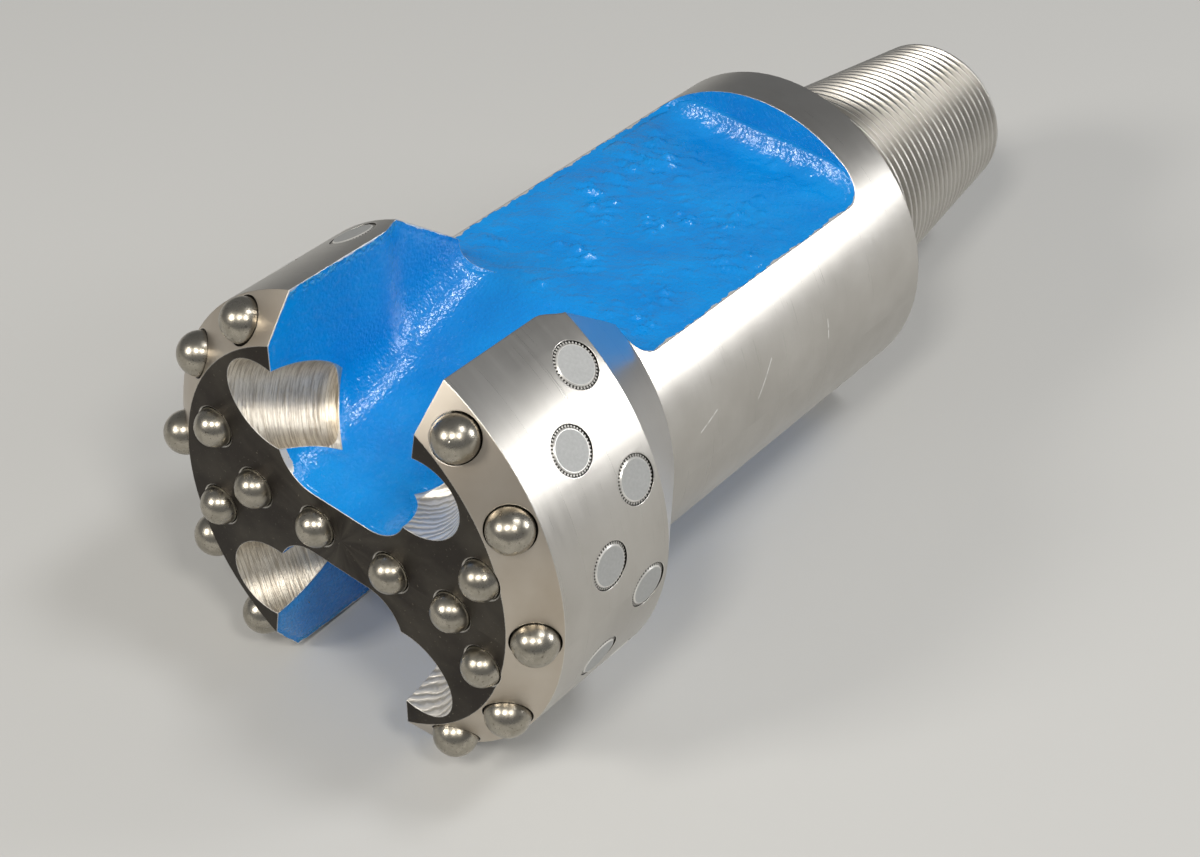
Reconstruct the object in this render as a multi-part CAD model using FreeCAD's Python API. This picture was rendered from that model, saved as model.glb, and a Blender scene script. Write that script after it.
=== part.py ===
"""Cable tool button bit, six inches across, lying on its side.

The bit is drawn level along X first: the cutting face at the -X end, the threaded pin at
the +X end, and the origin in the middle of the pin's shoulder. Z points up between the two
wings, which stand out along +Y and -Y. At the end every piece is tipped together by the
few degrees at which the bit comes to rest, on the corners of its wings and on its collar.
"""
import FreeCAD, Part
import math
import os

from FreeCAD import Vector

# Driving sizes, in millimetres and degrees. Lengths along the bit start at the cutting face.

# Turned outline of the forging
gauge_radius = 76.2
bevel_width = 13.0
bevel_length = 10.2
gauge_end = 57.4
cone_end = 85.1
shank_radius = 57.15
shoulder_at = 222.5
shoulder_chamfer = 0.8

# Tapered pin, with its radii over the thread's crests
pin_length = 101.6
pin_base_radius = 41.275
pin_nose_radius = 28.575
pin_nose_chamfer = 2.2

# Thread of the pin: one right-hand ridge with a flat crest, seven turns to the inch
thread_pitch = 25.4 / 7
thread_depth = 1.9
thread_crest = 0.7
thread_flank_angle = 30.0
thread_sunk = 0.3
thread_neck = 3.2
thread_turn = 17.0

# Watercourses, the two channels that leave a wing on each side
web_half_thickness = 11.6
channel_half_width = 28.7
channel_draft = 4.7
channel_root_radius = 14.0
channel_run_out = 93.0
flare = 3.7
flare_start = 48.0
flare_end = 58.5
flare_steps = 6

# Wrench flats on the shank, and the turn between them and the wings
flat_height = 38.7
flat_lead = 0.7
flat_end = 204.2
flat_end_radius = 8.5
flat_turn = -2.0

# Milled pockets in the corners of the face
pocket_radius = 13.4
pocket_out = 28.7
pocket_up = 34.6
pocket_toe = 33.0
pocket_dive = 12.5
pocket_depth = 24.5
pocket_nose_radius = 4.5

# Domed carbide buttons, and the holes they are pressed into
face_button_radius = 6.35
bevel_button_radius = 7.0
button_foot_chamfer = 0.8
button_fit = 0.05
mouth_chamfer = 0.6
inner_buttons_left = (9.4, 34.7)
inner_buttons_right = (19.8, 43.2)
inner_buttons_turn = -0.8
outer_buttons_spread = 16.8
outer_inset_left = 10.4
outer_inset_right = 6.4
outer_turn_left = -1.6
outer_turn_right = -3.5
bevel_button_angles = (-55.0, -31.0, 0.0, 30.0, 54.5)

# Flat carbide inserts that hold the gauge, with a serrated rim
insert_land_radius = 6.1
insert_root_radius = 6.8
insert_tooth_radius = 7.35
insert_teeth = 40
insert_rim_depth = 0.5
insert_seat = 8.0
insert_fit = 0.12
insert_pitch = 14.0
insert_count = 9
insert_turn = 1.4
front_row = 31.1
rear_row = 48.4

# Sizes that follow from the driving ones
face_radius = gauge_radius - bevel_width
pin_slope = (pin_base_radius - pin_nose_radius) / pin_length
pin_root_base = pin_base_radius - thread_depth
pin_root_nose = pin_nose_radius - thread_depth
beyond = 1.25 * gauge_radius
wing_corner_height = math.sqrt(gauge_radius ** 2 - channel_half_width ** 2)
rest_length = shoulder_at - shoulder_chamfer - flare_start
rest_angle = math.degrees(math.atan2(wing_corner_height - shank_radius, rest_length))

origin = Vector(0, 0, 0)
along_bit = Vector(1, 0, 0)
sideways = Vector(0, 1, 0)
upward = Vector(0, 0, 1)


def station(length):
    """X of a place measured from the cutting face."""
    return length - shoulder_at


def polar(x, radius, angle):
    """Point at an angle round the bit, counted from +Y towards +Z."""
    turn = math.radians(angle)
    return Vector(x, radius * math.cos(turn), radius * math.sin(turn))


def turned(shape, angle):
    """Copy of a shape, turned about the bit's axis."""
    copy = shape.copy()
    copy.rotate(origin, along_bit, angle)
    return copy


def aimed(shape, place, direction):
    """Shape drawn up the Z axis, moved so that Z runs along a direction at a place."""
    copy = shape.copy()
    copy.Placement = FreeCAD.Placement(place, FreeCAD.Rotation(upward, direction))
    return copy


def revolved(outline, axis):
    """Solid of revolution about an axis through the origin, from a closed outline."""
    wire = Part.makePolygon(outline + [outline[0]])
    return Part.Face(wire).revolve(origin, axis, 360)


def turned_blank():
    """The forging as the lathe leaves it, with the pin down to the thread's roots."""
    nose_start = pin_length - pin_nose_chamfer
    outline = [
        (station(0), 0),
        (station(0), face_radius),
        (station(bevel_length), gauge_radius),
        (station(gauge_end), gauge_radius),
        (station(cone_end), shank_radius),
        (-shoulder_chamfer, shank_radius),
        (0, shank_radius - shoulder_chamfer),
        (0, pin_root_base),
        (nose_start, pin_root_base - pin_slope * nose_start),
        (pin_length, pin_root_nose - pin_nose_chamfer),
        (pin_length, 0),
    ]
    return revolved([Vector(x, 0, radius) for x, radius in outline], along_bit)


def pin_thread():
    """The thread's ridge, wound up the cone from past the nose and trimmed level with it."""
    climb = math.hypot(1, pin_slope)
    past = thread_pitch
    foot_radius = pin_root_nose - pin_slope * past - thread_sunk
    crest_radius = foot_radius + thread_sunk + thread_depth
    half_crest = thread_crest / 2
    flank = math.tan(math.radians(thread_flank_angle))
    half_foot = half_crest + (crest_radius - foot_radius) * flank
    section = Part.makePolygon([
        Vector(foot_radius, 0, -half_foot),
        Vector(crest_radius, 0, -half_crest),
        Vector(crest_radius, 0, half_crest),
        Vector(foot_radius, 0, half_foot),
        Vector(foot_radius, 0, -half_foot),
    ])
    helix = Part.makeHelix(thread_pitch * climb, (past + pin_length - thread_neck) * climb,
                           foot_radius, math.degrees(math.atan(pin_slope)))
    ridge = Part.Wire(helix.Edges).makePipeShell([section], True, True)
    ridge = aimed(ridge, Vector(pin_length + past, 0, 0), Vector(-1, 0, 0))
    bevel_start = pin_length - 2 * pin_nose_chamfer
    envelope = revolved([
        Vector(0, 0, 0),
        Vector(0, 0, shank_radius),
        Vector(bevel_start, 0, shank_radius),
        Vector(bevel_start, 0, pin_nose_radius + pin_nose_chamfer),
        Vector(pin_length, 0, pin_root_nose - pin_nose_chamfer / 4),
        Vector(pin_length, 0, 0),
    ], along_bit)
    return turned(ridge, thread_turn).common(envelope)


def half_width(length):
    """Half width of a channel at the gauge: it opens out by the flare towards the shank."""
    share = min(max((length - flare_start) / (flare_end - flare_start), 0), 1)
    return channel_half_width + flare * share * share * (3 - 2 * share)


def floor_height(length):
    """Height of a channel's floor, which climbs from the web to the wrench flat."""
    return web_half_thickness + (flat_height - web_half_thickness) * length / channel_run_out


def channel_section(length):
    """Outline of a channel across the bit: a floor, two round corners and drafted walls."""
    x = station(length)
    floor = floor_height(length)
    lean = math.tan(math.radians(channel_draft))
    slant = math.hypot(1, lean)
    foot = half_width(length) - (wing_corner_height - floor) * lean
    rim = foot + (beyond - floor) * lean
    centre_y = foot + channel_root_radius * (lean - slant)
    centre_z = floor + channel_root_radius
    middle = math.radians(-90 + (90 - channel_draft) / 2)
    root = Vector(x, centre_y, floor)
    bend = Vector(x, centre_y + channel_root_radius * math.cos(middle),
                  centre_z + channel_root_radius * math.sin(middle))
    wall = Vector(x, centre_y + channel_root_radius / slant,
                  centre_z - channel_root_radius * lean / slant)
    top = Vector(x, rim, beyond)

    def across(point):
        return Vector(point.x, -point.y, point.z)

    return Part.Wire([
        Part.makeLine(across(root), root),
        Part.Arc(root, bend, wall).toShape(),
        Part.makeLine(wall, top),
        Part.makeLine(top, across(top)),
        Part.makeLine(across(top), across(wall)),
        Part.Arc(across(wall), across(bend), across(root)).toShape(),
    ])


def channel():
    """One watercourse: a loft from in front of the face to where its floor meets the flat."""
    step = (flare_end - flare_start) / flare_steps
    lengths = [-10] + [flare_start + step * count for count in range(flare_steps + 1)]
    lengths.append(channel_run_out + 8)
    return Part.makeLoft([channel_section(length) for length in lengths], True, True)


def wrench_flat():
    """The cut for one flat: square ends, with a round corner along each."""
    start = station(cone_end - flat_lead)
    end = station(flat_end)
    round_off = flat_end_radius * (1 - math.sqrt(0.5))

    def at(x, z):
        return Vector(x, -beyond, z)

    low = flat_height
    high = flat_height + flat_end_radius
    profile = Part.Wire([
        Part.makeLine(at(start, beyond), at(start, high)),
        Part.Arc(at(start, high), at(start + round_off, low + round_off),
                 at(start + flat_end_radius, low)).toShape(),
        Part.makeLine(at(start + flat_end_radius, low), at(end - flat_end_radius, low)),
        Part.Arc(at(end - flat_end_radius, low), at(end - round_off, low + round_off),
                 at(end, high)).toShape(),
        Part.makeLine(at(end, high), at(end, beyond)),
        Part.makeLine(at(end, beyond), at(start, beyond)),
    ])
    return turned(Part.Face(profile).extrude(sideways * (2 * beyond)), flat_turn)


def face_pocket(side, level):
    """One milled pocket: a round-nosed cutter run in past the face towards the channel."""
    toe = math.radians(pocket_toe)
    dive = math.radians(pocket_dive)
    direction = Vector(math.cos(toe) * math.cos(dive),
                       -side * math.sin(toe) * math.cos(dive),
                       -level * math.sin(dive))
    clear = 2 * pocket_radius
    cutter = Part.makeCylinder(pocket_radius, pocket_depth + clear, Vector(0, 0, -clear))
    rim = [edge for edge in cutter.Edges if abs(edge.CenterOfMass.z - pocket_depth) < 1e-6]
    cutter = cutter.makeFillet(pocket_nose_radius, rim)
    return aimed(cutter, Vector(station(0), side * pocket_out, level * pocket_up), direction)


def dome_button(radius):
    """A button up the Z axis, with its hole's mouth at the origin and its dome above."""
    seat = 2 * radius
    halfway = radius * math.sqrt(0.5)
    foot = Vector(radius - button_foot_chamfer, 0, -seat)
    heel = Vector(radius, 0, button_foot_chamfer - seat)
    rim = Vector(radius, 0, 0)
    tip = Vector(0, 0, radius)
    outline = Part.Wire([
        Part.makeLine(Vector(0, 0, -seat), foot),
        Part.makeLine(foot, heel),
        Part.makeLine(heel, rim),
        Part.Arc(rim, Vector(halfway, 0, halfway), tip).toShape(),
        Part.makeLine(tip, Vector(0, 0, -seat)),
    ])
    return Part.Face(outline).revolve(origin, upward, 360)


def button_hole(button_radius):
    """The drilled hole for a button, with a broken edge at its mouth."""
    seat = 2 * button_radius
    radius = button_radius + button_fit
    outline = [
        Vector(0, 0, -seat),
        Vector(radius, 0, -seat),
        Vector(radius, 0, -mouth_chamfer),
        Vector(radius + 2 * mouth_chamfer, 0, mouth_chamfer),
        Vector(0, 0, mouth_chamfer),
    ]
    return revolved(outline, upward)


def flat_insert():
    """A gauge insert up the Z axis: a ground land, a chamfer and a serrated rim below it."""
    rim = []
    for step in range(2 * insert_teeth):
        angle = math.pi * step / insert_teeth
        radius = insert_tooth_radius if step % 2 == 0 else insert_root_radius
        rim.append(Vector(radius * math.cos(angle), radius * math.sin(angle), -insert_seat))
    rim.append(rim[0])
    height = insert_seat - insert_rim_depth
    serrated = Part.Face(Part.makePolygon(rim)).extrude(upward * height)
    shelf = Vector(0, 0, -insert_rim_depth)
    land = Part.makeCone(insert_root_radius - 0.1, insert_land_radius, insert_rim_depth, shelf)
    return serrated.fuse(land)


def insert_hole():
    """The flat-bottomed hole for a gauge insert, open past the gauge surface."""
    depth = insert_seat + 2
    return Part.makeCylinder(insert_tooth_radius + insert_fit, depth, Vector(0, 0, -insert_seat))


def face_button_places():
    """Name, place and direction of the buttons that stand straight out of the face."""
    places = []
    wings = (("left", 0, 1, inner_buttons_left, outer_inset_left, outer_turn_left),
             ("right", 180, -1, inner_buttons_right, outer_inset_right, outer_turn_right))
    for name, centre, rise, inner_radii, inset, turn in wings:
        outer_radius = face_radius - inset
        spots = [("inner", inner_radii[0], inner_buttons_turn),
                 ("middle", inner_radii[1], inner_buttons_turn),
                 ("upper", outer_radius, turn + rise * outer_buttons_spread),
                 ("lower", outer_radius, turn - rise * outer_buttons_spread)]
        for label, radius, angle in spots:
            place = polar(station(0), radius, centre + angle)
            places.append((f"face_button_{name}_{label}", place, Vector(-1, 0, 0)))
    return places


def bevel_button_places():
    """Name, place and direction of the buttons that stand square to the bevel."""
    width = math.hypot(gauge_radius - face_radius, bevel_length)
    forward = (gauge_radius - face_radius) / width
    outward = bevel_length / width
    middle = (face_radius + gauge_radius) / 2
    places = []
    for name, centre in (("left", 0), ("right", 180)):
        for number, angle in enumerate(bevel_button_angles, start=1):
            turn = centre + angle + flat_turn
            place = polar(station(bevel_length / 2), middle, turn)
            places.append((f"bevel_button_{name}_{number}", place, polar(-forward, outward, turn)))
    return places


def insert_places():
    """Name, place and direction of the gauge inserts, in two staggered rows on each wing."""
    places = []
    for name, centre in (("left", 0), ("right", 180)):
        for number in range(insert_count):
            angle = centre + (number - (insert_count - 1) / 2) * insert_pitch + insert_turn
            row = rear_row if number % 2 == 0 else front_row
            place = polar(station(row), gauge_radius, angle)
            places.append((f"gauge_insert_{name}_{number + 1}", place, polar(0, 1, angle)))
    return places


def bit_body():
    """The forged and machined steel: blank, channels, flats, pockets, holes and thread."""
    cuts = []
    for half_turn in (0, 180):
        cuts.append(turned(channel(), half_turn))
        cuts.append(turned(wrench_flat(), half_turn))
    for side in (1, -1):
        for level in (1, -1):
            cuts.append(face_pocket(side, level))
    for _, place, direction in face_button_places():
        cuts.append(aimed(button_hole(face_button_radius), place, direction))
    for _, place, direction in bevel_button_places():
        cuts.append(aimed(button_hole(bevel_button_radius), place, direction))
    for _, place, direction in insert_places():
        cuts.append(aimed(insert_hole(), place, direction))
    body = turned_blank()
    for cut in cuts:
        body = body.cut(cut)
    return body.removeSplitter().fuse(pin_thread())


def as_it_lies(shape):
    """Shape tipped about the pin's shoulder to the slope at which the bit rests."""
    copy = shape.copy()
    copy.rotate(origin, sideways, rest_angle)
    return copy


def pieces():
    """Every piece of the bit by name, drawn level."""
    found = {"bit_body": bit_body()}
    for name, place, direction in face_button_places():
        found[name] = aimed(dome_button(face_button_radius), place, direction)
    for name, place, direction in bevel_button_places():
        found[name] = aimed(dome_button(bevel_button_radius), place, direction)
    for name, place, direction in insert_places():
        found[name] = aimed(flat_insert(), place, direction)
    return found


def main():
    os.makedirs("parts", exist_ok=True)
    for name, shape in pieces().items():
        as_it_lies(shape).exportStep(f"parts/{name}.step")


main()
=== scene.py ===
# %% [markdown]
# # A cable tool drill bit
#
# The bit is one steel forging with carbide buttons and inserts pressed into it. Its shape
# comes from the CAD model, which this script loads as a fixed frame. What it adds is what
# a forge, a lathe and a paint gun leave on such a bit: the lumps of the forged surfaces
# under a skin of blue paint, and a finish for each kind of metal.

# %% Load the fixed frame
import math
from functools import reduce
from types import SimpleNamespace

import bmesh
import bpy
from mathutils import Matrix, Vector, noise
from mathutils.bvhtree import BVHTree


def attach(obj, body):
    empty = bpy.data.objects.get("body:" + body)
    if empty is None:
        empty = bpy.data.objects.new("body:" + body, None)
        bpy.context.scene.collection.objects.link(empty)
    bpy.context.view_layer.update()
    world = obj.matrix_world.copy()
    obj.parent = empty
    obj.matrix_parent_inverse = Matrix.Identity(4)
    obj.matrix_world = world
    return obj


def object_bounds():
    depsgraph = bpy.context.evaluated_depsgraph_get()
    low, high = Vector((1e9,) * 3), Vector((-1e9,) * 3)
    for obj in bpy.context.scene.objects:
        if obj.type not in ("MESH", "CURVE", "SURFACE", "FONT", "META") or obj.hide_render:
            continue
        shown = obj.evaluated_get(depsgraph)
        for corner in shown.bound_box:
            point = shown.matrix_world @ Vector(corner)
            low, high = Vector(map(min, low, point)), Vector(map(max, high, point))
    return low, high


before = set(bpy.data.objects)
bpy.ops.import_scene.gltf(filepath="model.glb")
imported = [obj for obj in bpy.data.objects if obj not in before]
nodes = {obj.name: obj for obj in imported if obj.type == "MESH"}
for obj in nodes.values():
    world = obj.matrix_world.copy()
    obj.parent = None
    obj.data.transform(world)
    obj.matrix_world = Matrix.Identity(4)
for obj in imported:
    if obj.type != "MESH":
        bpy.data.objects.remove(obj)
cad_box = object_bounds()
print("CAD box in mm:", [[round(1000 * value, 1) for value in corner] for corner in cad_box])

# %% [markdown]
# ## The bit's own coordinates
#
# The bit lies tipped, with its pin a little lower than its head. Its own shape is easier
# to describe level: a length from the cutting face along the axis, and a height and side
# offset from that axis, all in millimetres. One matrix goes from there to the frame.

# %% Sizes of the bit, in millimetres and degrees
rest_angle = math.radians(4.424)
shoulder_at = 222.5
face_radius = 63.2
bevel_length = 10.2
gauge_radius = 76.2
gauge_end = 57.4
cone_end = 85.1
shank_radius = 57.15
flat_end = 204.2
channel_reach = 34.0
pocket_radius = 13.4
pocket_depth = 24.5
pocket_mouth = Vector((0, 28.7, 34.6))
pocket_toe = math.radians(33)
pocket_dive = math.radians(12.5)
cutter_axis = Vector((math.cos(pocket_toe) * math.cos(pocket_dive),
                      -math.sin(pocket_toe) * math.cos(pocket_dive),
                      -math.sin(pocket_dive)))
to_frame = (Matrix.Rotation(rest_angle, 4, "Y")
            @ Matrix.Scale(0.001, 4)
            @ Matrix.Translation((-shoulder_at, 0, 0)))
to_level = to_frame.inverted()


def outline_radius(length):
    """Radius that the lathe leaves at a length from the cutting face."""
    bevel = face_radius + (gauge_radius - face_radius) * min(length / bevel_length, 1)
    fall = min(max((length - gauge_end) / (cone_end - gauge_end), 0), 1)
    return min(bevel, gauge_radius - (gauge_radius - shank_radius) * fall)


print("Outline at 5, 40, 70 and 150 mm:",
      [round(outline_radius(length), 2) for length in (5, 40, 70, 150)])

# %% [markdown]
# ## Floor, light and camera
#
# A bit this shiny shows whatever stands round it, so the studio is part of the finish.
# A row of soft lamps above the camera gives the turned steel its broad bands and each
# domed button its row of small bright spots. The floor is one wide disc, so that no edge
# of it shows in the steel.

# %% Floor
floor_radius = 6
floor_height = cad_box[0].z


def new_object(name, mesh_maker):
    """Object at the origin whose mesh is built by a function that fills a bmesh."""
    form = bmesh.new()
    mesh_maker(form)
    mesh = bpy.data.meshes.new(name)
    form.to_mesh(mesh)
    form.free()
    made = bpy.data.objects.new(name, mesh)
    bpy.context.scene.collection.objects.link(made)
    return made


def fill_floor(form):
    bmesh.ops.create_circle(form, cap_ends=True, segments=64, radius=floor_radius,
                            matrix=Matrix.Translation((0, 0, floor_height)))


floor = new_object("floor", fill_floor)
print("Floor at", round(1000 * floor_height, 2), "mm")

# %% Camera
camera_place = Vector((-0.5323, -0.3350, 0.4956))
camera_aim = Vector((-0.12217, -0.01694, 0.0))
camera_roll = math.radians(1.644)

camera = bpy.data.objects.new("camera", bpy.data.cameras.new("camera"))
bpy.context.scene.collection.objects.link(camera)
bpy.context.scene.camera = camera
camera.data.lens = 67.794
camera.data.sensor_width = 36
camera.data.clip_start = 0.01
camera.location = camera_place
look = (camera_aim - camera_place).to_track_quat("-Z", "Y")
camera.rotation_mode = "QUATERNION"
camera.rotation_quaternion = look @ Matrix.Rotation(camera_roll, 4, "Z").to_quaternion()
print("Camera looks down at", round(math.degrees(math.asin(-(look @ Vector((0, 0, -1))).z)), 1))

# %% Lamps
lamp_distance = 2.0
white = (1.0, 1.0, 1.0)
warm = (1.0, 0.96, 0.89)


def soft_lamp(name, direction, size, watts, tint):
    """Square area lamp that faces the bit from a direction."""
    lamp = bpy.data.lights.new(name, "AREA")
    lamp.size = size
    lamp.energy = watts
    lamp.color = tint
    made = bpy.data.objects.new(name, lamp)
    made.location = camera_aim + Vector(direction).normalized() * lamp_distance
    made.rotation_mode = "QUATERNION"
    made.rotation_quaternion = (camera_aim - made.location).to_track_quat("-Z", "Y")
    bpy.context.scene.collection.objects.link(made)
    return made


lamps = [soft_lamp("lamp_left", (-0.74, 0.36, 0.57), 0.45, 15, warm),
         soft_lamp("lamp_middle", (-0.57, -0.18, 0.80), 0.35, 12, warm),
         soft_lamp("lamp_near", (-0.25, -0.56, 0.80), 0.35, 10, warm),
         soft_lamp("lamp_above", (0.24, -0.36, 0.90), 0.35, 10, white),
         soft_lamp("lamp_right", (0.78, -0.76, 0.42), 0.5, 10.5, white)]
print(len(lamps), "lamps")

# %% Sky round the studio
world = bpy.data.worlds.new("studio")
bpy.context.scene.world = world
world.use_nodes = True
sky = world.node_tree.nodes["Background"]
sky.inputs["Color"].default_value = (0.80, 0.82, 0.85, 1)
sky.inputs["Strength"].default_value = 0.24
bpy.context.scene.view_settings.view_transform = "Standard"
print("Sky strength", round(sky.inputs["Strength"].default_value, 2))

# %% [markdown]
# ## How the finishes are built
#
# A finish is a set of nodes. Patterns on a forging follow the bit itself and not the room,
# so most finishes start from the same numbers: the length from the face, the radius and
# the angle round the axis. A small helper keeps each pattern to a few readable lines. A
# mask is a number that is 1 where something is and 0 elsewhere, and masks multiply.

# %% Helper for finishes
class Finish:
    """A material, with short calls for the nodes that its pattern is built from."""

    def __init__(self, name):
        self.material = bpy.data.materials.new(name)
        self.material.use_nodes = True
        self.tree = self.material.node_tree
        self.shader = self.tree.nodes["Principled BSDF"]

    def join(self, value, socket):
        if isinstance(value, bpy.types.NodeSocket):
            self.tree.links.new(value, socket)
        elif value is not None:
            socket.default_value = value

    def node(self, kind, *values, **settings):
        made = self.tree.nodes.new("ShaderNode" + kind)
        for key, value in settings.items():
            setattr(made, key, value)
        for socket, value in zip(made.inputs, values):
            self.join(value, socket)
        return made

    def math(self, operation, *values):
        return self.node("Math", *values, operation=operation).outputs[0]

    def times(self, *values):
        return reduce(lambda first, second: self.math("MULTIPLY", first, second), values)

    def plus(self, *values):
        return reduce(lambda first, second: self.math("ADD", first, second), values)

    def minus(self, first, second):
        return self.math("SUBTRACT", first, second)

    def either(self, first, second):
        return self.math("MAXIMUM", first, second)

    def none_of(self, *masks):
        return self.minus(1, reduce(self.either, masks))

    def above(self, value, limit):
        return self.math("GREATER_THAN", value, limit)

    def below(self, value, limit):
        return self.math("LESS_THAN", value, limit)

    def absolute(self, value):
        return self.math("ABSOLUTE", value)

    def vector(self, operation, *values):
        made = self.node("VectorMath", *values, operation=operation)
        return made.outputs["Value" if operation in ("DOT_PRODUCT", "LENGTH") else "Vector"]

    def split(self, value):
        return tuple(self.node("SeparateXYZ", value).outputs)

    def gather(self, *values):
        return self.node("CombineXYZ", *values).outputs[0]

    def ramp(self, value, start, end, low=0.0, high=1.0):
        return self.node("MapRange", value, start, end, low, high).outputs[0]

    def mix(self, share, first, second):
        made = self.node("Mix", share, data_type="RGBA")
        self.join(first, made.inputs[6])
        self.join(second, made.inputs[7])
        return made.outputs[2]

    def blend(self, share, first, second):
        made = self.node("Mix", share, data_type="FLOAT")
        self.join(first, made.inputs[2])
        self.join(second, made.inputs[3])
        return made.outputs[0]

    def steer(self, share, first, second):
        made = self.node("Mix", share, data_type="VECTOR")
        self.join(first, made.inputs[4])
        self.join(second, made.inputs[5])
        return made.outputs[1]

    def noise(self, where, scale, detail=3.0, rough=0.5):
        return self.node("TexNoise", where, None, scale, detail, rough).outputs[0]

    def place(self):
        return self.node("TexCoord").outputs["Object"]

    def level(self):
        """Place on the bit: length from the face, side offset and height, in millimetres."""
        return self.node("Mapping", self.place(), (shoulder_at, 0, 0), (0, -rest_angle, 0),
                         (1000, 1000, 1000)).outputs[0]

    def bump(self, height, normal=None):
        made = self.node("Bump")
        made.inputs["Strength"].default_value = 1.0
        made.inputs["Distance"].default_value = 0.001
        self.join(height, made.inputs["Height"])
        self.join(normal, made.inputs["Normal"])
        return made.outputs[0]

    def set(self, **values):
        for name, value in values.items():
            self.join(value, self.shader.inputs[name.replace("_", " ")])


def colour(red, green, blue):
    return (red, green, blue, 1.0)


def wear(piece, material):
    """Give a piece one material in place of what it had."""
    piece.data.materials.clear()
    piece.data.materials.append(material)


floor_finish = Finish("pale_floor")
floor_finish.set(Base_Color=colour(0.52, 0.52, 0.51), Roughness=0.85)
wear(floor, floor_finish.material)
print("Floor wears", floor.data.materials[0].name)

# %% Colours, each pair from dark to light
turned_steel = colour(0.49, 0.47, 0.435), colour(0.56, 0.54, 0.505)
# the bevel's steel is stained, and tinted warm as a painted reflection of warm light
bevel_steel_warm_reflection = colour(0.50, 0.435, 0.355), colour(0.60, 0.545, 0.47)
face_steel = colour(0.040, 0.034, 0.029), colour(0.085, 0.076, 0.062)
# pocket marks: painted shade in their grooves and painted light on their crests; the ribbed pocket
# is also painted lighter as it is lit
ringed_steel_light_and_shade = colour(0.44, 0.385, 0.31), colour(0.74, 0.69, 0.60)
ribbed_steel_light_and_shade = colour(0.46, 0.43, 0.38), colour(0.78, 0.75, 0.70)
# the cone is turned steel like the rest, painted lighter as light falling on it
lit_cone_steel = colour(0.74, 0.74, 0.75)
speck_steel = colour(0.26, 0.23, 0.18)
scratched_steel = colour(0.88, 0.87, 0.85)
# edges: bare steel, painted lighter as a highlight
worn_steel_and_edge_glint = colour(0.78, 0.76, 0.72)
border_steel = colour(0.74, 0.73, 0.70)
hole_shade = colour(0.05, 0.045, 0.038)
paint_blue = colour(0.0, 0.215, 0.63), colour(0.0, 0.26, 0.70)
# beads: their pale tint is a painted sparkle
bead_sparkle_blue = colour(0.12, 0.62, 0.80)
print("Paint from", paint_blue[0][:3], "to", paint_blue[1][:3])

# %% [markdown]
# ## Blue paint
#
# The paint was sprayed on before the bit was turned, so the lathe and the mill cut its
# border, and it waves along the bit. The coat has a fine grain and a slow orange peel.
# Along the outer rim of the wings it stands in small beads, painted pale as their sparkle.

# %% Border of the paint
paint_margin = 0.38
least_margin = 0.12
ragged_swing = (-0.2, 0.25)
paint_end = flat_end + 9
border_end = flat_end + 12
behind_wings = cone_end - 2
flank_height = 9
strip_centre = Vector((0.0, 23.5, 18.5))
waves = ((0.24, 0.21, 0.0), (0.20, 0.57, 1.9), (0.13, 1.37, 4.2))


def paint_gap(length):
    """How far the paint stops short of the turned surface, from waves (depth, pace, phase)."""
    return paint_margin + sum(deep * math.sin(length * pace + phase)
                              for deep, pace, phase in waves)


print("Gap at the border of the paint:",
      [round(paint_gap(length), 2) for length in (100, 104, 108, 112)])

# %% Coat of paint
grain_height = 0.27
peel_height = 0.06
bead_height = 0.5
bead_sparkle_tint = 0.35
bead_band = (gauge_radius - 3.4, gauge_radius - 1.2)


def paint(f, level):
    """Colour, roughness and height in millimetres of the paint at a place on the bit."""
    grain = f.noise(level, 0.95, 1)
    peel = f.noise(level, 0.4)
    cloud = f.noise(level, 0.05)
    radius = f.vector("LENGTH", f.vector("MULTIPLY", level, (0, 1, 1)))
    beads = f.times(f.ramp(radius, *bead_band), f.ramp(f.noise(level, 0.75, 2), 0.48, 0.62))
    base = f.mix(f.ramp(cloud, 0.35, 0.7), *paint_blue)
    # the beads are painted pale, as the sparkle of light on them
    base = f.mix(f.times(beads, bead_sparkle_tint), base, bead_sparkle_blue)
    rough = f.ramp(peel, 0.3, 0.7, 0.23, 0.31)
    relief = f.plus(f.times(grain, grain_height), f.times(peel, peel_height),
                    f.times(beads, bead_height))
    return base, rough, relief


print("Paint stands up to", grain_height + peel_height, "mm, and", bead_height, "mm at its beads")

# %% [markdown]
# ## Steel of the forging
#
# The forging is turned on a lathe, so its outside carries fine rings round the axis. They
# spread each lamp into a band along the bit, which an even roughness can't show. The
# rings are made twice: as a fine bump for the ones that the eye can see, and as
# anisotropy, a sheen with a direction, for the ones it can't. The cutting face is dark.
# The milled pockets have marks of their own, round the cutter's axis: close rings in the
# left wing, and the broad ribs of a cutter that chattered in the right one. A few straight
# scratches cross the near side of the shank.

# %% Regions of the forging
turned_slack = 0.12
edge_slack = 0.02
face_slack = 0.03


def find_regions(f):
    """Where a point lies on the bit, and masks of what the lathe has turned there."""
    level = f.level()
    length, side, height = f.split(level)
    radius = f.vector("LENGTH", f.vector("MULTIPLY", level, (0, 1, 1)))
    bevel = f.ramp(length, 0, bevel_length, face_radius, gauge_radius)
    cone = f.ramp(length, gauge_end, cone_end, gauge_radius, shank_radius)
    outline = f.math("MINIMUM", bevel, cone)
    turned = f.above(radius, f.minus(outline, turned_slack))
    return SimpleNamespace(
        level=level, length=length, side=side, height=height, radius=radius,
        outline=outline, turned=turned,
        on_face=f.below(length, face_slack),
        on_bevel=f.times(turned, f.below(length, bevel_length - edge_slack)),
        on_cone=f.times(f.above(length, gauge_end + edge_slack),
                        f.below(length, cone_end - edge_slack)))


print("Turned steel lies within", turned_slack, "mm of the outline")

# %% Marks of the lathe
wound_radius = 55
streak_stretch = 0.12


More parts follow.
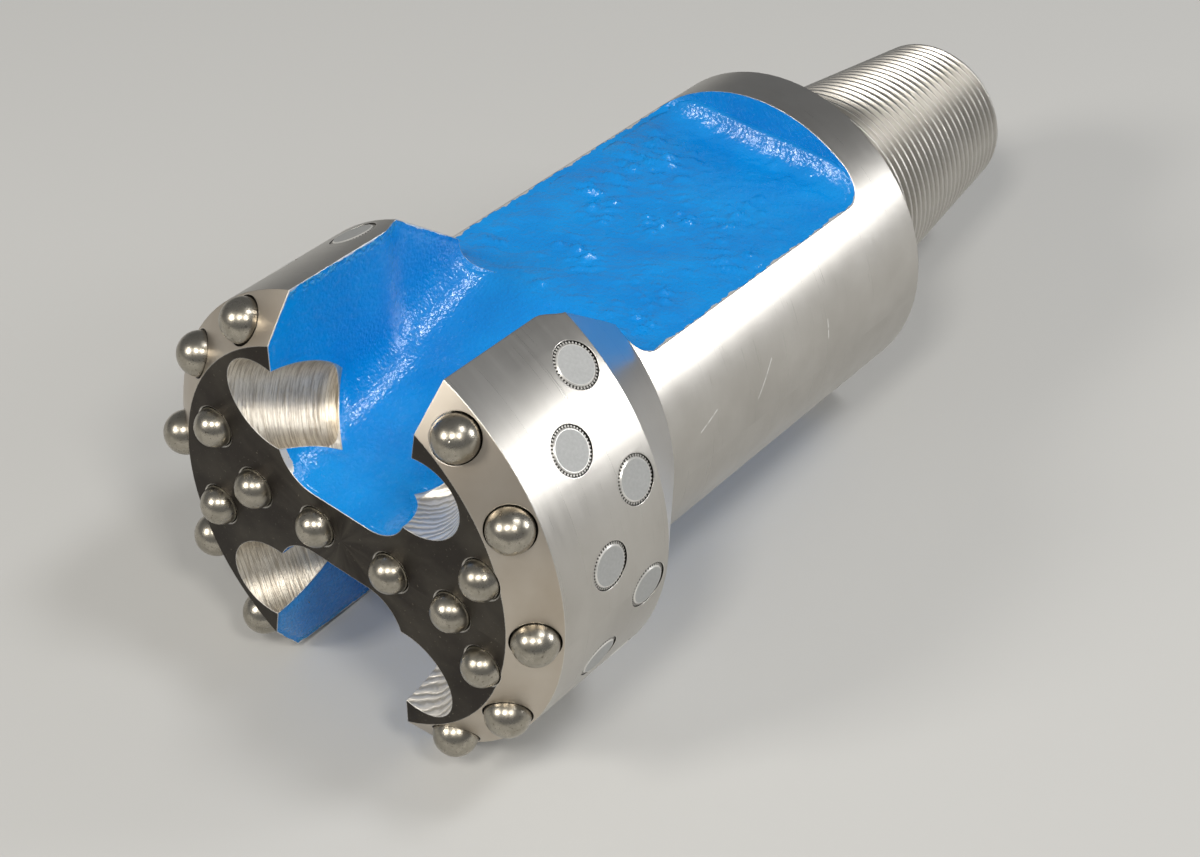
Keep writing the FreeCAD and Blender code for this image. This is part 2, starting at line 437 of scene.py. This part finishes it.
def lathe_marks(f, at):
    """Rings along the bit, and patterns wound round it: streaks along the rings, and stains."""
    rings = f.gather(at.length, 0, 0)
    angle = f.math("ARCTAN2", at.height, at.side)
    wound = f.gather(at.length, f.times(angle, wound_radius), at.radius)
    streaks = f.vector("MULTIPLY", wound, (1.0, streak_stretch, 1.0))
    return SimpleNamespace(fine=f.noise(rings, 2.6, 4, 0.65), wide=f.noise(rings, 0.35, 2),
                           streaks=f.noise(streaks, 0.5), stains=f.noise(wound, 0.045, 4, 0.55))


print("Streaks are", round(1 / streak_stretch, 1), "times as long as they are wide")

# %% Milled pockets
pocket_slack = 0.15
ring_height = 0.30
rib_height = 0.11
rib_ring_height = 0.12
rib_pace = 2.3
rib_wander = 7.0


def pocket_marks(f, at):
    """Mask and cutter marks of the pockets: all four are one shape, mirrored."""
    from_mouth = f.vector("SUBTRACT", f.vector("ABSOLUTE", at.level), tuple(pocket_mouth))
    depth = f.vector("DOT_PRODUCT", from_mouth, tuple(cutter_axis))
    along = f.node("VectorMath", tuple(cutter_axis), operation="SCALE")
    f.join(depth, along.inputs["Scale"])
    across = f.vector("SUBTRACT", from_mouth, along.outputs[0])
    milled = f.times(f.below(f.vector("LENGTH", across), pocket_radius + pocket_slack),
                     f.below(depth, pocket_depth + pocket_slack),
                     f.none_of(at.turned, at.on_face))
    ring_place = f.vector("ADD", f.gather(depth, 0, 0),
                          f.vector("MULTIPLY", across, (0.06, 0.06, 0.06)))
    rings = f.noise(ring_place, 1.6, 4, 0.75)
    wander = f.times(f.noise(at.level, 0.22, 2), rib_wander)
    ribs = f.times(f.math("SINE", f.plus(f.times(depth, rib_pace), wander)), rib_height)
    on_right = f.below(at.side, 0)
    relief = f.blend(on_right, f.times(rings, ring_height),
                     f.plus(ribs, f.times(rings, rib_ring_height)))
    return SimpleNamespace(milled=milled, on_right=on_right, across=across,
                           rings=rings, ribs=ribs, relief=relief)


print("Ribs every", round(math.tau / rib_pace, 1), "mm along the cutter's axis")

# %% Scratches on the near side of the shank
# ends of each, as length from the face and arc up from the bit's near side
scratch_ends = (((137.3, 19.0), (128.7, 8.7)), ((168.1, 17.5), (167.8, 10.4)),
                ((122.0, -26.4), (168.5, -26.2)), ((99.1, 12.7), (108.0, 16.1)))
scratch_edge = (0.20, 0.08)
scratch_depth = 0.03


def scratch_marks(f, at):
    """Mask of straight scratches, broken here and there."""
    angle = f.math("ARCTAN2", at.height, f.times(at.side, -1))
    unrolled = f.gather(at.length, f.times(angle, shank_radius), 0)
    unbroken = f.ramp(f.noise(at.level, 0.5, 2), 0.34, 0.44)
    scratches = 0.0
    for begin, end in scratch_ends:
        whole = Vector((*end, 0)) - Vector((*begin, 0))
        ahead = whole.normalized()
        offset = f.vector("SUBTRACT", unrolled, (*begin, 0))
        done = f.vector("DOT_PRODUCT", offset, tuple(ahead))
        aside = f.absolute(f.vector("DOT_PRODUCT", offset, (-ahead.y, ahead.x, 0)))
        line = f.times(f.above(done, 0), f.below(done, whole.length),
                       f.ramp(aside, *scratch_edge), unbroken)
        scratches = f.either(scratches, line)
    return scratches


print(len(scratch_ends), "scratches")

# %% [markdown]
# Paint stays on what was forged and then not machined, and its border is ragged. Beside
# the upper left pocket a strip of the channel is rubbed bare. Whatever is neither turned,
# milled nor painted is the wall of a drilled hole, painted dark as shade, or a bright
# line where the lathe has cut past the paint.

# %% Painted surface, drilled holes and bright border
strip_reach = (8.5, 6.5)
strip_wander = 4
strip_gap = 2.0
face_gap = 0.35
hole_from_strip = 11
hole_start = 0.3
hole_end = gauge_end - 0.5
hole_slack = 0.15


def paint_and_holes(f, at, milled):
    """Masks of the paint, of the drilled holes and of the bare line round the paint."""
    ragged = f.ramp(f.noise(at.level, 0.8, 4, 0.7), 0.35, 0.7, *ragged_swing)
    ragged = f.plus(ragged, paint_margin)
    for deep, pace, phase in waves:
        swing = f.node("Math", at.length, pace, phase, operation="MULTIPLY_ADD").outputs[0]
        ragged = f.plus(ragged, f.times(f.math("SINE", swing), deep))
    ragged = f.either(ragged, least_margin)
    off_side = f.absolute(at.side)

    from_strip = f.vector("LENGTH", f.vector("SUBTRACT", at.level, tuple(strip_centre)))
    strip = f.ramp(f.plus(from_strip, f.times(ragged, strip_wander)), *strip_reach)
    start = f.plus(f.times(strip, strip_gap), f.times(ragged, face_gap))
    in_reach = f.either(f.below(off_side, channel_reach), f.above(at.length, behind_wings))
    painted = f.times(f.below(at.radius, f.minus(at.outline, ragged)),
                      f.above(at.length, start), f.below(at.length, paint_end),
                      f.above(f.absolute(at.height), flank_height), in_reach, f.none_of(milled))

    rest = f.times(f.none_of(at.turned, at.on_face), f.none_of(milled, painted))
    inside = f.below(at.radius, f.minus(at.outline, f.plus(ragged, hole_slack)))
    # the walls of the drilled holes are painted dark as shade
    hole = f.times(rest, f.either(inside, f.above(off_side, channel_reach)),
                   f.above(at.length, hole_start), f.below(at.length, hole_end),
                   f.above(from_strip, hole_from_strip))
    border = f.times(rest, f.none_of(hole), f.below(at.length, border_end))
    return painted, hole, border


print("Paint ends", paint_end, "mm from the face")

# %% Finish of the forging
edge_reach = 0.00045
edge_turn = (0.985, 0.90)
fine_ring_height = 0.007
wide_ring_height = 0.02
turned_rough = (0.26, 0.34)
streak_rough = (-0.01, 0.02)
bevel_rough, face_rough, ring_rough, rib_rough, scratch_rough = 0.36, 0.42, 0.36, 0.44, 0.5
border_metal, rib_metal, scratch_metal = 0.55, 0.5, 0.4


def steel_colour(f, at, lathe, pocket):
    """Colour of the bare steel, from the turned outside in to pockets and face."""
    base = f.mix(f.ramp(lathe.stains, 0.35, 0.7), *turned_steel)
    # the bevel's warm tint is a painted reflection of warm light
    base = f.mix(at.on_bevel, base, f.mix(f.ramp(lathe.stains, 0.3, 0.7), *bevel_steel_warm_reflection))
    # painted light: the cone's steel is made lighter than the other turned steel
    base = f.mix(at.on_cone, base, lit_cone_steel)
    # pocket marks are painted darker in their grooves and lighter on their crests, as light and
    # shade
    ringed = f.mix(f.ramp(pocket.rings, 0.40, 0.56), *ringed_steel_light_and_shade)
    ribbed = f.mix(f.ramp(pocket.ribs, -0.10, 0.04), *ribbed_steel_light_and_shade)
    base = f.mix(pocket.milled, base, f.mix(pocket.on_right, ringed, ribbed))
    specks = f.ramp(f.noise(at.level, 0.85, 5, 0.7), 0.63, 0.70)
    face = f.mix(f.ramp(lathe.stains, 0.4, 0.75), *face_steel)
    return f.mix(at.on_face, base, f.mix(specks, face, speck_steel))


def steel_roughness(f, at, lathe, pocket, scratches):
    rough = f.plus(f.ramp(lathe.fine, 0.3, 0.7, *turned_rough),
                   f.ramp(lathe.streaks, 0.3, 0.7, *streak_rough))
    rough = f.blend(at.on_bevel, rough, bevel_rough)
    rough = f.blend(at.on_face, rough, face_rough)
    in_pocket = f.blend(pocket.on_right, ring_rough, rib_rough)
    return f.blend(scratches, f.blend(pocket.milled, rough, in_pocket), scratch_rough)


def tool_direction(f, at, pocket):
    """Direction of the tool marks: round the bit's axis, or round the cutter's in a pocket."""
    axis = (math.cos(rest_angle), 0, -math.sin(rest_angle))
    round_bit = f.vector("NORMALIZE", f.vector("CROSS_PRODUCT", axis, f.place()))
    round_cutter = f.vector("MULTIPLY",
                            f.vector("CROSS_PRODUCT", tuple(cutter_axis), pocket.across),
                            f.vector("SIGN", at.level))
    round_cutter = f.node("Mapping", f.vector("NORMALIZE", round_cutter), (0, 0, 0),
                          (0, rest_angle, 0), (1, 1, 1), vector_type="VECTOR").outputs[0]
    return f.steer(pocket.milled, round_bit, round_cutter)


def forging_finish():
    f = Finish("forging_steel")
    at = find_regions(f)
    lathe = lathe_marks(f, at)
    pocket = pocket_marks(f, at)
    scratches = scratch_marks(f, at)
    painted, hole, border = paint_and_holes(f, at, pocket.milled)
    blue, blue_rough, blue_relief = paint(f, at.level)

    # an edge is worn bare of paint, and painted lighter as a highlight, where the rounded normal
    # leaves the true one
    round_normal = f.node("Bevel", edge_reach, samples=6).outputs[0]
    true_normal = f.node("NewGeometry").outputs["True Normal"]
    edge = f.ramp(f.vector("DOT_PRODUCT", round_normal, true_normal), *edge_turn)
    edge = f.times(edge, f.none_of(hole))

    base = f.mix(scratches, steel_colour(f, at, lathe, pocket), scratched_steel)
    # the hole walls take a painted shade
    for mask, shade in ((painted, blue), (hole, hole_shade), (border, border_steel),
                        (edge, worn_steel_and_edge_glint)):
        base = f.mix(mask, base, shade)

    # bare metal, less like a mirror on the border, the ribs and the scratches
    bare = f.times(f.either(edge, f.none_of(painted)), f.blend(border, 1.0, border_metal),
                   f.blend(f.times(pocket.milled, pocket.on_right), 1.0, rib_metal),
                   f.blend(scratches, 1.0, scratch_metal))
    rough = f.blend(bare, blue_rough, steel_roughness(f, at, lathe, pocket, scratches))

    relief = f.plus(f.times(lathe.fine, fine_ring_height), f.times(lathe.wide, wide_ring_height))
    relief = f.minus(relief, f.times(scratches, scratch_depth))
    relief = f.blend(pocket.milled, relief, pocket.relief)
    relief = f.blend(painted, relief, blue_relief)
    f.set(Base_Color=base, Metallic=bare, Roughness=rough, Anisotropic=0.55,
          Normal=f.bump(relief, round_normal), Tangent=tool_direction(f, at, pocket))
    return f.material


wear(nodes["bit_body"], forging_finish())
print("Steel of the forging has", len(nodes["bit_body"].data.materials[0].node_tree.nodes), "nodes")

# %% [markdown]
# ## Carbide buttons
#
# The buttons are tungsten carbide, tumbled until they shine: darker than steel, smoother,
# and a little specked.

# %% Carbide of the buttons
def button_finish():
    f = Finish("tumbled_carbide")
    dull = f.noise(f.place(), 260, 4, 0.6)
    specks = f.noise(f.place(), 1400, 2)
    base = f.mix(f.ramp(dull, 0.4, 0.65), colour(0.43, 0.40, 0.34), colour(0.33, 0.305, 0.255))
    base = f.mix(f.ramp(specks, 0.62, 0.72), base, colour(0.20, 0.18, 0.15))
    f.set(Base_Color=base, Metallic=1.0, Roughness=f.ramp(dull, 0.35, 0.7, 0.25, 0.34),
          Normal=f.bump(f.times(specks, 0.03)))
    return f.material


button_carbide = button_finish()
buttons = [node for name, node in nodes.items() if "button" in name]
for button in buttons:
    wear(button, button_carbide)
print(len(buttons), "buttons wear", button_carbide.name)

# %% [markdown]
# ## Carbide inserts in the gauge
#
# An insert is a flat disc. Its land is ground dull, and a chamfer runs round it, painted
# light as a highlight. The rim below is serrated to grip its hole, with painted shade
# between the teeth.
# Each insert points its own way, so each finish has a Mapping that brings its disc to the
# origin, facing up.

# %% Carbide of the gauge inserts
insert_pitch = 14.0
insert_turn = 1.4
insert_rows = (48.4, 31.1)
inserts_in_wing = 9
insert_land_radius = 6.1
insert_chamfer = (insert_land_radius - 0.25, insert_land_radius - 0.05)
insert_rim = (insert_land_radius + 0.3, insert_land_radius + 0.4)
insert_teeth = 40


def insert_finish(name, length, angle):
    f = Finish(name)
    stand = (to_frame
             @ Matrix.Translation((length, 0, 0))
             @ Matrix.Rotation(math.radians(angle), 4, "X")
             @ Matrix.Translation((0, gauge_radius, 0))
             @ Matrix.Rotation(math.radians(-90), 4, "X"))
    shift, turn, _ = stand.inverted().decompose()
    local = f.node("Mapping", f.place(), tuple(shift), tuple(turn.to_euler()),
                   (1000, 1000, 1000)).outputs[0]
    from_centre = f.vector("LENGTH", f.vector("MULTIPLY", local, (1, 1, 0)))
    chamfer = f.ramp(from_centre, *insert_chamfer)
    rim = f.ramp(from_centre, *insert_rim)
    local_x, local_y, _ = f.split(local)
    round_disc = f.times(f.math("ARCTAN2", local_y, local_x), insert_teeth)
    teeth = f.ramp(f.math("COSINE", round_disc), -0.35, 0.25)
    grain = f.noise(local, 0.9, 5, 0.6)
    lines = f.noise(f.vector("MULTIPLY", local, (0.25, 6, 1)), 1.0, 3, 0.6)
    base = f.mix(f.ramp(grain, 0.35, 0.7), colour(0.40, 0.405, 0.40), colour(0.46, 0.465, 0.46))
    # the chamfer is ground smoother, and its colour is painted light as a highlight
    base = f.mix(chamfer, base, colour(0.74, 0.73, 0.70))
    # painted shade between the teeth of the rim
    base = f.mix(rim, base, f.mix(teeth, colour(0.05, 0.045, 0.04), colour(0.52, 0.51, 0.48)))
    rough = f.blend(chamfer, f.ramp(lines, 0.3, 0.7, 0.55, 0.68), 0.3)
    f.set(Base_Color=base, Metallic=0.6, Roughness=f.blend(rim, rough, 0.45),
          Normal=f.bump(f.times(lines, 0.01)))
    return f.material


for wing, centre in (("left", 0), ("right", 180)):
    for number in range(inserts_in_wing):
        insert = nodes[f"gauge_insert_{wing}_{number + 1}"]
        angle = centre + (number - inserts_in_wing // 2) * insert_pitch + insert_turn
        wear(insert, insert_finish("ground_" + insert.name, insert_rows[number % 2], angle))
print(2 * inserts_in_wing, "inserts, each with a finish of its own")

# %% [markdown]
# ## Skin of paint over the forged surfaces
#
# The channels and the flats are as the hammer left them, under blue paint. On the flats
# the forging is lumpy, in long low creases, and in the channels it is almost smooth. The
# skin is a fine grid laid on the body: rays go out to it from a line high between the
# wings, and each point that they find is lifted by the paint and the lumps under it.
# Towards its border the skin dips into the body, which is painted alike there, so that no
# step shows where the one takes over from the other.

# %% Where the skin lies
skin_start = 0.5
skin_end = flat_end + 8
skin_border = 0.25
least_skin_gap = 0.1
strip_start = 3.5
strip_clearance = 9
pocket_clearance = 0.4


def is_painted(place):
    """Whether a place on the level bit is forged surface that kept its paint."""
    length, side, height = place
    if abs(height) < flank_height or not skin_start < length < skin_end:
        return False
    if length < cone_end and abs(side) > channel_reach:
        return False
    gap = max(paint_gap(length), least_skin_gap) + skin_border
    if math.hypot(side, height) > outline_radius(length) - gap:
        return False
    if length < strip_start and (place - strip_centre).length < strip_clearance:
        return False
    offset = Vector((length, abs(side), abs(height))) - pocket_mouth
    depth = offset.dot(cutter_axis)
    return (depth > pocket_depth + pocket_clearance
            or (offset - cutter_axis * depth).length > pocket_radius + pocket_clearance)


print("The upper flat is painted:", is_painted(Vector((150, 0, 38.7))))

# %% Lumps of the forging
# length, side offset and width of each place where short ripples gather
clumps = ((152, -3, 8), (148, -32, 9), (156, -38, 6), (113, -25, 8), (98, -28, 7),
          (117, 9, 9), (148, 25, 8), (177, 28, 11), (168, -20, 10))
lumps_from = 84
lumps_full = 96


def forged_relief(place):
    """Height of the painted forging over the plain shape, in millimetres."""
    length, side, height = place
    lumpy = min(max((length - lumps_from) / (lumps_full - lumps_from), 0), 1)
    coat = 0.2 + 0.10 * noise.noise(place * 0.05) + 0.02 * noise.noise(place * 0.45)

    # long low waves, aslant over the flat, as the hammer moved round it
    along = 0.63 * length - 0.78 * side
    across = 0.78 * length + 0.63 * side
    swell = 0.6 * noise.noise(Vector((along * 0.03, across * 0.07, height * 0.03)))
    swell += 0.34 * noise.noise(Vector((along * 0.10, across * 0.22, height * 0.05)))

    # short ripples with pits between them, strong in a few clumps and faint elsewhere
    clump = sum(math.exp(-((length - at) ** 2 + (side - off) ** 2) / wide ** 2)
                for at, off, wide in clumps)
    share = min(0.14 + 0.9 * max(noise.noise(place * 0.06), 0) + 0.8 * clump, 1)
    ridge = noise.noise(Vector((along * 0.21, across * 0.52, height * 0.2)))
    ripple = 4.2 * max(ridge - 0.16, 0) - 3.0 * max(-ridge - 0.26, 0)
    pits = 0.30 * noise.noise(place * 0.75)

    # the crease where the milled channel runs out into the flat
    crease = 90 + 5 * math.sin(side * 0.09) + 1.5 * noise.noise(Vector((side * 0.12, 0, 0)))
    crease = 0.28 * math.exp(-((length - crease) / 1.3) ** 2)
    return coat + lumpy * (swell + share * (ripple + pits)) - crease


print("Relief at three places on the upper flat:",
      [round(forged_relief(Vector((length, 0, 38.7))), 2) for length in (110, 150, 190)])

# %% Helpers for the skin
def level_surface(name_start):
    """Surface of the nodes whose names start so, in level millimetres and ready for rays."""
    form = bmesh.new()
    for name, node in nodes.items():
        if name.startswith(name_start):
            form.from_mesh(node.data)
    bmesh.ops.transform(form, verts=form.verts, matrix=to_level)
    surface = BVHTree.FromBMesh(form)
    form.free()
    return surface


def steps_from_border(form):
    """How many edges each point lies from the open border of a sheet."""
    steps = {vert: 0 for vert in form.verts if vert.is_boundary}
    ring = list(steps)
    while ring:
        inner = {edge.other_vert(vert) for vert in ring for edge in vert.link_edges} - steps.keys()
        distance = steps[ring[0]] + 1
        steps.update({vert: distance for vert in inner})
        ring = list(inner)
    return steps


body_surface = level_surface("bit_body")
button_surface = level_surface("bevel_button")
print("Top of the flat at 150 mm:",
      round(body_surface.ray_cast(Vector((150, 0, 90)), Vector((0, 0, -1)))[0].z, 2))

# %% Form of the skin
skin_pitch = 0.8
skin_line = 62.0
skin_turn = math.radians(114)
usual_reach = 36
ray_length = 90
button_clearance = 0.3
largest_gap = 90
smoothings = 24
skin_fade = 2.4
skin_dip = 0.08
skin_depth = 0.5


def lay_sheet(form, upward):
    """Lay a grid on the body, keep its painted points, and give each one's normal."""
    rows = int(skin_end / skin_pitch)
    columns = int(2 * skin_turn / (skin_pitch / usual_reach))
    bmesh.ops.create_grid(form, x_segments=rows, y_segments=columns, size=0.5)
    normals = {}
    missed = []
    for vert in form.verts:
        start = Vector(((vert.co.x + 0.5) * skin_end, 0, upward * skin_line))
        turn = 2 * vert.co.y * skin_turn
        hit, normal, _, _ = body_surface.ray_cast(
            start, Vector((0, math.sin(turn), -upward * math.cos(turn))), ray_length)
        if (hit is not None and is_painted(hit)
                and button_surface.find_nearest(hit, button_clearance)[0] is None):
            vert.co = hit
            normals[vert] = normal
        else:
            missed.append(vert)
    bmesh.ops.delete(form, geom=missed, context="VERTS")
    stray = [vert for vert in form.verts if not vert.link_faces]
    bmesh.ops.delete(form, geom=stray, context="VERTS")
    return normals


def fill_skin(form, upward):
    normals = lay_sheet(form, upward)
    open_edges = [edge for edge in form.edges if edge.is_boundary]
    bmesh.ops.holes_fill(form, edges=open_edges, sides=largest_gap)
    inner = [vert for vert in form.verts if not vert.is_boundary]
    for _ in range(smoothings):
        bmesh.ops.smooth_vert(form, verts=inner, factor=0.5,
                              use_axis_x=True, use_axis_y=True, use_axis_z=True)
    steps = steps_from_border(form)
    for vert in form.verts:
        share = min(steps[vert] * skin_pitch / skin_fade, 1)
        lift = share * (forged_relief(vert.co) + skin_dip) - skin_dip
        vert.co += normals[vert] * lift
    form.normal_update()
    if sum(face.normal.dot(normals[face.verts[0]]) for face in form.faces) < 0:
        bmesh.ops.reverse_faces(form, faces=form.faces)
    bmesh.ops.solidify(form, geom=form.faces, thickness=skin_depth)
    for face in form.faces:
        face.smooth = True
    bmesh.ops.transform(form, verts=form.verts, matrix=to_frame)


print("Grid of", skin_pitch, "mm")

# %% Skin of paint
def skin_finish():
    f = Finish("blue_paint")
    base, rough, relief = paint(f, f.level())
    grained = f.bump(relief)
    f.set(Base_Color=base, Roughness=rough, Normal=grained, Specular_IOR_Level=0.4,
          Coat_Weight=0.6, Coat_Roughness=0.09, Coat_Normal=grained)
    return f.material


skin_blue = skin_finish()
for name, upward in (("upper_paint", 1), ("lower_paint", -1)):
    skin = new_object(name, lambda form, upward=upward: fill_skin(form, upward))
    wear(skin, skin_blue)
    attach(skin, "root")
    print(name, "has", len(skin.data.polygons), "faces")
